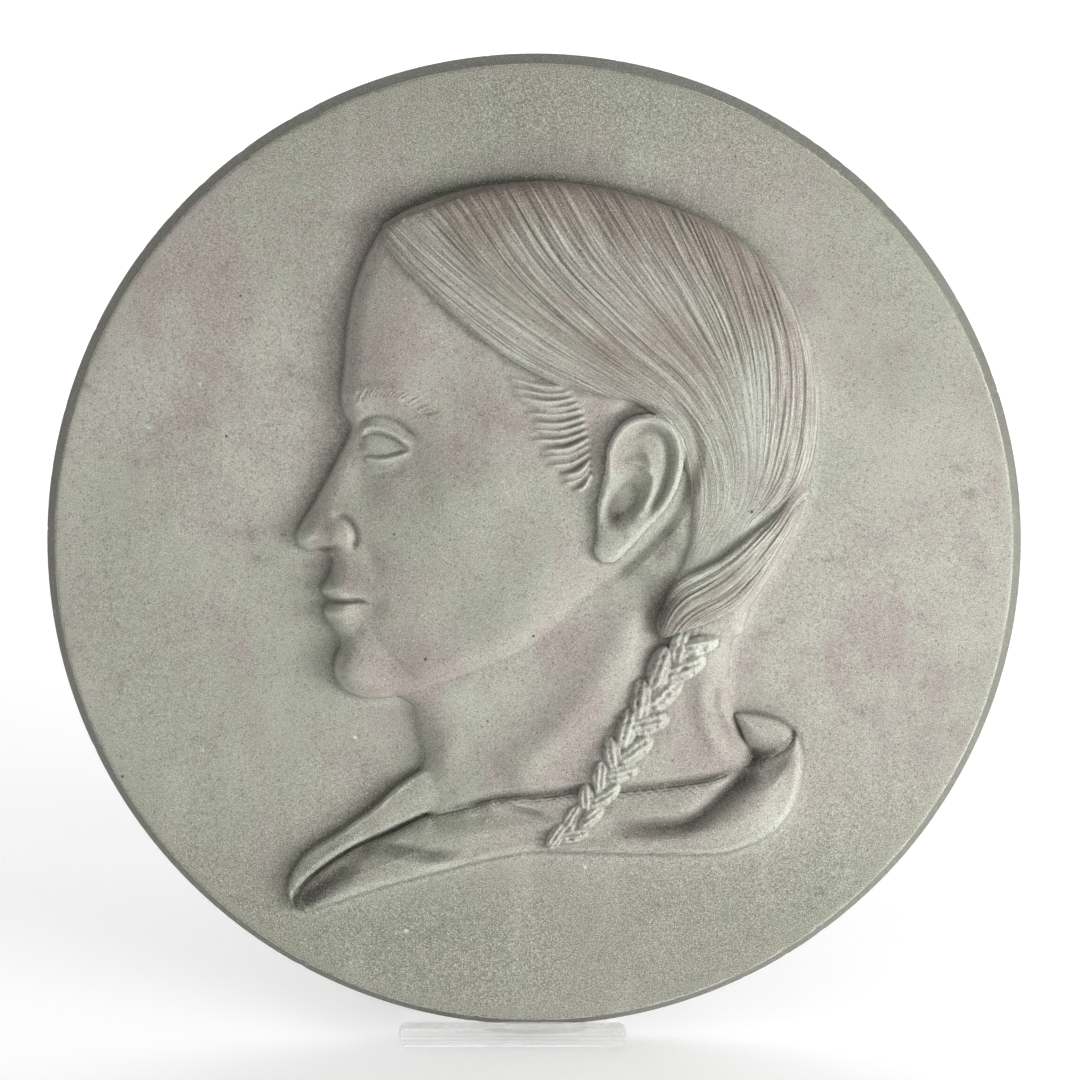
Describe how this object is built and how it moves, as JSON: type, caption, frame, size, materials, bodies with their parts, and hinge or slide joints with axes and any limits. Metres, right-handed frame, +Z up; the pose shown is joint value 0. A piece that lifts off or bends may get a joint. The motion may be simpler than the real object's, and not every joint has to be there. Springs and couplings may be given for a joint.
{
  "type": "relief plaque",
  "caption": "Round cast portrait plaque with a left-facing head in low relief, leaning back in a bent clear acrylic display stand.",
  "frame": {"origin": "middle of the bounding box in X and Y, on the table under the stand", "axes": "+Z up, the relief faces -Y, +X to the right seen from the front; plaque and backrest lean back 14 degrees"},
  "size_m": [0.43, 0.1708, 0.4219],
  "materials": {
    "patinated_plaster": "matt, grey-green and brown patina with a few white chips",
    "clear_acrylic": "clear, polished"
  },
  "bodies": {
    "root": {"plaque": "patinated_plaster", "display_stand": "clear_acrylic"}
  },
  "joints": []
}
